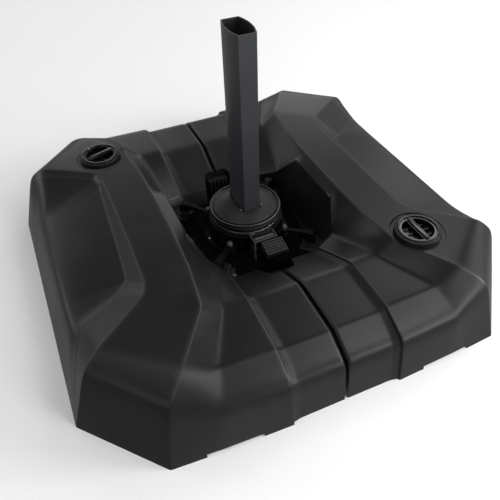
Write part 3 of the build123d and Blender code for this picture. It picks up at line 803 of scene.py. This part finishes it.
def build_caps():
    """Screw caps: two D-shaped pockets beside a grip bar."""
    for side, turn, bar_angle in (("right", 0, 90), ("left", 180, 20)):
        mesh = combined(cap_disc(), cap_tools())
        mesh.transform(Matrix.Rotation(radians(bar_angle), 4, "Z"))
        mesh.transform(Matrix.Translation(turned([(*NECK, 0)], turn)[0]))
        obj = new_piece(f"screw_cap_{side}", mesh, f"fill_cap_{side}", 35)
        bevel(obj, 0.5 * MM, 2, 40)


# ---------------------------------------------------------------- turning side
def knurled_band(radius, low, high, columns, rows, depth):
    """Closed ring of diamond studs around a drum."""
    inner = radius - 3 * depth
    rings = []
    for row in range(rows + 1):
        radii = [radius if (row + column) % 2 == 0 and 0 < row < rows else radius - depth
                 for column in range(columns)]
        rings.append((low + (high - low) * row / rows, radii))
    rings += [(high, [inner] * columns), (low, [inner] * columns)]
    verts = [(r * cos(tau * column / columns), r * sin(tau * column / columns), z)
             for z, radii in rings for column, r in enumerate(radii)]
    faces = []
    for row in range(len(rings)):
        up = (row + 1) % len(rings)
        for column in range(columns):
            after = (column + 1) % columns
            a, b = row * columns + column, row * columns + after
            c, d = up * columns + after, up * columns + column
            if row >= rows:
                faces.append((a, b, c, d))
            elif (row + column) % 2 == 0:
                faces += [(a, b, d), (b, c, d)]
            else:
                faces += [(a, b, c), (a, c, d)]
    return mesh_from("band", verts, faces)


def build_turntable():
    """Turntable casting with a knurled band below the rim."""
    profile = [(16, 109), (28, 109), (28, 84), (36, 84), (36, 106.3), (59.7, 106.3), (59.7, 112),
               (78.8, 112), (80, 112.6), (80, 113.8), (78.4, 114.2), (78.4, 124), (80, 124.4), (80, 131),
               (26, 131), (26, 116), (16, 116)]
    bm = bmesh.new()
    bm.from_mesh(lathe("table", profile, 160))
    bm.from_mesh(knurled_band(79.9 * MM, 114.2 * MM, 124 * MM, 144, 6, 1.1 * MM))
    new_piece("turntable_drum", outward(to_mesh("turntable", bm)), "turntable", 28)


def build_rim():
    """Rim with a rounded lip around a sunken ledge."""
    profile = [(80, 125), (83.6, 125), (84.4, 126), (84.4, 134.2), (84.2, 135.3), (83.5, 136.2),
               (82.6, 136.5), (81.8, 136.2), (81.3, 135.4), (81.2, 132.4), (80.3, 132), (78.9, 132),
               (78.5, 131.6), (78.5, 131), (80, 131)]
    new_piece("rim_band", outward(lathe("rim", profile, 160)), "rim_ring", 50)


def mast_outline(grow, arc_steps=24):
    """Section of the mast: two flats joined by two bowed sides, grown by an offset."""
    x, y = MAST_FLAT / 2 + grow, MAST_CHORD / 2 + grow
    bow_r = (y * y + MAST_BOW * MAST_BOW) / (2 * MAST_BOW)
    half = asin(y / bow_r)
    side = []
    for step in range(arc_steps + 1):
        angle = half * (2 * step / arc_steps - 1)
        side.append((x + MAST_BOW - bow_r * (1 - cos(angle)), bow_r * sin(angle)))
    return side + [(-a, -b) for a, b in side]


def build_cover():
    """Domed cover with a close opening for the mast."""
    edge_r, top_r, low_z, rise, steps = 76, 30, 135, 19, 20
    outer = [(75.8, 131), (edge_r, low_z)]
    for step in range(1, steps + 1):
        share = step / steps
        outer.append((edge_r - (edge_r - top_r) * share, low_z + rise * sin(pi / 2 * share)))
    inner = [(0.01, 150.5), (30, 150.5), (52, 145), (66, 137), (70, 131)]
    dome = lathe("dome", outer + [(0.01, low_z + rise)] + inner, 160)
    opening = slab("opening", mast_outline(2.2 * MM), 0.12, 0.17, 0)
    mesh = combined(outward(dome), [("DIFFERENCE", opening)])
    obj = new_piece("cover_shell", mesh, "cover_dome", 40)
    bevel(obj, 0.7 * MM, 2, 40)


def build_mast():
    """Bow-sided tube with crisp corners and an open, deburred top."""
    outer, inner = mast_outline(0), mast_outline(-MAST_WALL)
    edge, mean_r = 0.5 * MM, 0.03
    loops = [(outer, MAST_LOW_Z, 0), (outer, MAST_TOP_Z - edge, 0), (outer, MAST_TOP_Z, edge),
             (inner, MAST_TOP_Z, -edge), (inner, MAST_TOP_Z - edge, 0), (inner, MAST_LOW_Z, 0)]
    verts, faces = [], []
    count = len(outer)
    for outline, z, shrink in loops:
        scale = 1 - shrink / mean_r
        verts += [(x * scale, y * scale, z) for x, y in outline]
    for k in range(len(loops)):
        for i in range(count):
            j = (i + 1) % count
            up = (k + 1) % len(loops)
            faces.append((k * count + i, k * count + j, up * count + j, up * count + i))
    obj = new_piece("mast_profile", outward(mesh_from("mast", verts, faces)), "mast_tube", 20)
    bevel(obj, 0.9 * MM, 3, 25)


def build_mast_screws():
    """Two button-head screws with a hexagon socket in the mast's back face."""
    profile = [(0.01, 0), (7, 0), (7, 1.1), (6.4, 2.2), (5, 3.1), (3, 3.6), (0.01, 3.6)]
    socket = [(2.3 * MM * cos(tau * k / 6), 2.3 * MM * sin(tau * k / 6)) for k in range(6)]
    bm = bmesh.new()
    for z in (0.175, 0.215):
        key = slab("key", socket, 1.4 * MM, 6 * MM, 0)
        head = combined(outward(lathe("head", profile, 40)), [("DIFFERENCE", key)])
        head.transform(Matrix.Translation((0, MAST_CHORD / 2, z)) @ Matrix.Rotation(radians(-90), 4, "X"))
        bm.from_mesh(head)
    new_piece("mast_screw_heads", to_mesh("screws", bm), "mast_screws", 30)


# ---------------------------------------------------------------- hub, fixed side
def apart(a, b):
    """Smallest difference between two angles in degrees."""
    return abs((a - b + 180) % 360 - 180)


def build_housing():
    """Fixed drum with fine upright ribs between its ears and the lever's window."""
    ear_half, window, window_half = 12, 273, 26
    angles = [radians(turn) for turn in range(0, 360, 6)
              if min(apart(turn, ear) for ear in DIAGONALS.values()) > ear_half
              and apart(turn, window) > window_half]
    ribs = ribs_around(0.088, 1.3 * MM, 2.4 * MM, 0.063, 0.1, angles)
    softened("hub_housing", 0.6 * MM, ribs)


def build_stays():
    """Hooked arms, slender at the hub and thick at the tank."""
    low, high = STAY_Z / MM, (STAY_Z + STAY_DEPTH) / MM
    side = [(95, low, 4.5), (95, high, 4.5), (110, high, 4.5), (128, 89, 5), (148, 93.5, 7), (160, 94.6, 8.5),
            (171, 93.5, 8.5), (177, 88, 8.5), (177, 70, 8), (174, 66, 7.5), (162, 66, 7.5), (158, 71, 8),
            (150, 78, 7.5), (136, 81.5, 5.5), (118, low, 4.5)]
    disc = [(0.01, low), (8.4, low), (9, low + 0.6), (9, high - 0.6), (8.4, high), (0.01, high)]
    count = len(side)
    for place, angle in DIAGONALS.items():
        outline = [(x, sign * half, z) for sign in (-1, 1) for x, z, half in side]
        faces = [(i, (i + 1) % count, count + (i + 1) % count, count + i) for i in range(count)]
        faces += [tuple(range(count)), tuple(range(count, 2 * count))[::-1]]
        bm = bmesh.new()
        bm.from_mesh(mesh_from("arm", [p * MM for p in turned(outline, angle)], faces))
        bm.from_mesh(lathe("disc", disc, 40, turned([(KNOB_R, 0, 0)], angle)[0].xy))
        obj = new_piece(f"stay_arm_{place}", outward(to_mesh("stay", bm)), f"stay_{place}", 30)
        bevel(obj, 1.4 * MM, 3, 30)


def fluted_knob(radius=7, lobes=8, steps=64):
    """Thumb screw with rounded lobes and a domed top, standing on z = 0."""
    levels = [(0.96, 0), (1, 0.8), (1, 6.8), (0.93, 8.2), (0.74, 9), (0.7, 10.2), (0.55, 10.9), (0.25, 11)]
    fluted_levels, flute_depth = 4, 0.55
    verts = []
    for k, (share, z) in enumerate(levels):
        for step in range(steps):
            angle = tau * step / steps
            flute = flute_depth * (0.5 + 0.5 * cos(lobes * angle)) if k < fluted_levels else 0
            r = radius * share - flute
            verts.append((r * cos(angle) * MM, r * sin(angle) * MM, z * MM))
    return mesh_from("knob", verts, capped_rings(steps, len(levels)))


def around_hub(name, mesh, node):
    """One piece from a mesh repeated at the four diagonals."""
    bm = bmesh.new()
    for turn in DIAGONALS.values():
        copy = mesh.copy()
        copy.transform(Matrix.Rotation(radians(turn), 4, "Z"))
        bm.from_mesh(copy)
    return new_piece(name, outward(to_mesh(name, bm)), node, 30)


def build_knobs_and_pads():
    """Thumb screws on the stays, and ribbed blocks beside the stays' feet."""
    knob = fluted_knob()
    knob.transform(Matrix.Translation((KNOB_R, 0, STAY_Z + STAY_DEPTH)))
    around_hub("thumb_screws", knob, "stay_knobs")
    low_y, high_y, rib, pitch = 0.0095, 0.023, 0.0028, 0.005
    corners = [((0.149, low_y, 0.066), (0.170, high_y, 0.0745))]
    for k in range(4):
        x = 0.1496 + k * pitch
        corners.append(((x, low_y, 0.074), (x + rib, high_y, 0.078)))
    bevel(around_hub("ribbed_pads", boxes("pad", corners), "shelf_pads"), 0.6 * MM, 2, 30)


def build_flange_screws():
    """Pan-head screws with a cross recess in the housing's foot flange."""
    profile = [(0.01, 0), (3.5, 0), (3.5, 1.2), (3, 2.3), (1.8, 2.9), (0.01, 3)]
    long, thin, floor, top = 2.2 * MM, 0.45 * MM, 1.8 * MM, 5 * MM
    bm = bmesh.new()
    for turn in (0, 90, 180):
        tools = [("DIFFERENCE", boxes("cross", [((-x, -y, floor), (x, y, top))]))
                 for x, y in ((long, thin), (thin, long))]
        head = combined(outward(lathe("head", profile, 32)), tools)
        head.transform(Matrix.Translation(turned([(FLANGE_SCREW_R, 0, FLANGE_TOP_Z)], turn)[0]))
        bm.from_mesh(head)
    new_piece("flange_screw_heads", to_mesh("flange_heads", bm), "flange_screws", 30)


def build_link():
    """Latch block between the tanks: a plain body, a top lip and upright ribs."""
    half, low, lip, back, rib = 0.026, 0.034, 0.080, 0.2005, 2.2
    corners = [((-half, 0.186, low), (half, back, lip)), ((-half, 0.184, lip), (half, back, 0.084))]
    corners += [(((x - rib) * MM, 0.178, low), ((x + rib) * MM, 0.187, 0.079)) for x in range(-22, 23, 11)]
    obj = new_piece("latch_block", boxes("link", corners), "tank_link", 30)
    bevel(obj, 0.7 * MM, 2, 30)


# ---------------------------------------------------------------- pedal
TREAD_EDGE_Y, TREAD_EDGE_Z = -113, 101.5             # where the tread's slope starts, mm
TREAD_SLOPE = (TREAD_EDGE_Z - 93) / 38


def build_pedal():
    """Hinge block whose top is a raised frame around fine steps, and the lever."""
    low_x, high_x = BLOCK_X - BLOCK_HALF + 1 * MM, BLOCK_X + BLOCK_HALF - 1 * MM
    steps = boxes("steps", [((low_x, y * MM, 0.107), (high_x, (y + 1.5) * MM, 0.1093))
                            for y in (-104.4, -101.2, -98)])
    softened("pedal_block", 0.7 * MM, steps)
    softened("pedal_lever", 1.2 * MM)


def tread_point(u, v, height):
    """Point on the tread: u along X from its middle, v down the slope, height above the platform."""
    z = TREAD_EDGE_Z - TREAD_SLOPE * (v + 1) + height
    return Vector((TREAD_X / MM + u, TREAD_EDGE_Y - v, z)) * MM


def tread_box(bm, u0, u1, v0, v1, low, high, taper=0.0, index=0):
    """Block on the tread's slope, a little smaller at its top."""
    base = ((u0, v0), (u1, v0), (u1, v1), (u0, v1))
    crown = ((u0 + taper, v0 + taper), (u1 - taper, v0 + taper),
             (u1 - taper, v1 - taper), (u0 + taper, v1 - taper))
    a = [bm.verts.new(tread_point(u, v, low)) for u, v in base]
    b = [bm.verts.new(tread_point(u, v, high)) for u, v in crown]
    faces = [bm.faces.new(a), bm.faces.new(b)]
    for i in range(4):
        j = (i + 1) % 4
        faces.append(bm.faces.new([a[i], a[j], b[j], b[i]]))
    for face in faces:
        face.material_index = index


def build_tread():
    """Foot pad: a border and a lattice of raised bars over a web painted near black as the shade between
    them.
    """
    half, length, rim, bar, columns, rows = 25.6, 36.0, 2.4, 0.9, 7, 5
    web_top, border_top, bar_low, bar_top = 3.6, 5, 1, 4.8
    bm = bmesh.new()
    tread_box(bm, -half, half, 0, length, 0, web_top, index=1)
    for v0, v1 in ((0, rim), (length - rim, length)):
        tread_box(bm, -half, half, v0, v1, 0, border_top, 0.5)
    for u0, u1 in ((-half, -half + rim), (half - rim, half)):
        tread_box(bm, u0, u1, 0, length, 0, border_top, 0.5)
    for k in range(1, columns):
        u = -half + rim + (2 * half - 2 * rim) * k / columns
        tread_box(bm, u - bar, u + bar, rim / 2, length - rim / 2, bar_low, bar_top, 0.3)
    for k in range(1, rows):
        v = rim + (length - 2 * rim) * k / rows
        tread_box(bm, -half + rim / 2, half - rim / 2, v - bar, v + bar, bar_low, bar_top, 0.3)
    mesh = outward(to_mesh("tread", bm))
    # Faces of the web: near-black painted shade in the recesses between the bars
    shaded_web = [face.index for face in mesh.polygons if face.material_index == 1]
    obj = new_piece("foot_tread", mesh, "pedal_tread", 30)
    obj.data.materials.append(BLACK_AND_SHADE)
    for index in shaded_web:
        mesh.polygons[index].material_index = 1
    bevel(obj, 0.35 * MM, 2, 30)


# ---------------------------------------------------------------- stage, light and camera
FLOOR_HALF = 9
# Soft boxes around the object: azimuth and elevation in degrees, power in watts
LIGHTS = [(-60, 18, 27), (-30, 18, 75), (0, 18, 5.5), (30, 18, 4), (60, 18, 6.5), (90, 18, 5.5), (120, 18, 5),
          (150, 18, 11.5), (210, 18, 6), (-50, 48, 26), (30, 48, 12.5), (190, 48, 4), (-174, 74, 10)]
LIGHT_TARGET, LIGHT_DISTANCE, LIGHT_SIZE = (0, 0, 0.1), 3.2, 1.1
WORLD_LIGHT, WORLD_FRONT_LIGHT, WORLD_FRONT = 0.32, 0.75, (0.35, -0.85, -0.40)
CAMERA_PLACE = (-0.3973, -0.9805, 0.9729)
CAMERA_AZIMUTH, CAMERA_ELEVATION, CAMERA_ROLL = -22.5, 43.1, -1.9    # degrees
CAMERA_LENS, CAMERA_SENSOR = 40.5, 36                                # millimetres


def build_stage():
    """Plain pale floor."""
    half = FLOOR_HALF
    corners = [(-half, -half, 0), (half, -half, 0), (half, half, 0), (-half, half, 0)]
    floor = temp_object(mesh_from("floor", corners, [(0, 1, 2, 3)]))
    floor.name = "floor"
    material, _, shader = node_material("pale_floor")
    shader.inputs["Base Color"].default_value = (0.86, 0.86, 0.86, 1)
    shader.inputs["Roughness"].default_value = 0.7
    floor.data.materials.append(material)
    floor.visible_glossy = False


def build_world():
    """Dim even surroundings, brighter low in front, where the pale floor lies."""
    world = bpy.data.worlds.new("world")
    world.use_nodes = True
    tree = world.node_tree
    facing = tree.nodes.new("ShaderNodeVectorMath")
    facing.operation = "DOT_PRODUCT"
    facing.inputs[1].default_value = WORLD_FRONT
    tree.links.new(tree.nodes.new("ShaderNodeTexCoord").outputs["Generated"], facing.inputs[0])
    light = add_range(tree, facing.outputs["Value"], From_Min=0.1, From_Max=0.9,
                      To_Min=WORLD_LIGHT, To_Max=WORLD_FRONT_LIGHT)
    background = tree.nodes["Background"]
    background.inputs["Color"].default_value = (1, 1, 1, 1)
    tree.links.new(light.outputs["Result"], background.inputs["Strength"])
    bpy.context.scene.world = world


def build_lights():
    """Square soft boxes, all facing the object."""
    target = Vector(LIGHT_TARGET)
    for index, (azimuth, elevation, power) in enumerate(LIGHTS):
        across, up = radians(azimuth), radians(elevation)
        away = Vector((cos(across) * cos(up), sin(across) * cos(up), sin(up)))
        light = bpy.data.lights.new(f"softbox_{index}", "AREA")
        light.shape = "RECTANGLE"
        light.size = light.size_y = LIGHT_SIZE
        light.energy = power
        obj = bpy.data.objects.new(f"softbox_{index}", light)
        obj.location = target + away * LIGHT_DISTANCE
        obj.rotation_euler = (-away).to_track_quat("-Z", "Y").to_euler()
        bpy.context.scene.collection.objects.link(obj)


def build_camera():
    """Camera at the viewing angle of the reference, rolled by a few degrees."""
    data = bpy.data.cameras.new("camera")
    data.sensor_width = CAMERA_SENSOR
    data.lens = CAMERA_LENS
    azimuth, elevation, roll = radians(CAMERA_AZIMUTH), radians(CAMERA_ELEVATION), radians(CAMERA_ROLL)
    back = Vector((sin(azimuth) * cos(elevation), -cos(azimuth) * cos(elevation), sin(elevation)))
    right = (-back).cross(Vector((0, 0, 1))).normalized()
    up = right.cross(-back)
    side = right * cos(roll) + up * sin(roll)
    top = up * cos(roll) - right * sin(roll)
    camera = bpy.data.objects.new("camera", data)
    camera.matrix_world = Matrix((side, top, back)).transposed().to_4x4()
    camera.location = CAMERA_PLACE
    bpy.context.scene.collection.objects.link(camera)
    bpy.context.scene.camera = camera


bpy.context.scene.view_settings.view_transform = "Standard"
build_stage()
build_world()
build_lights()
build_camera()
build_tanks()
build_plate()
build_hidden()
build_bar_feet()
build_caps()
build_turntable()
build_rim()
build_cover()
build_mast()
build_mast_screws()
build_housing()
build_stays()
build_knobs_and_pads()
build_flange_screws()
build_link()
build_pedal()
build_tread()
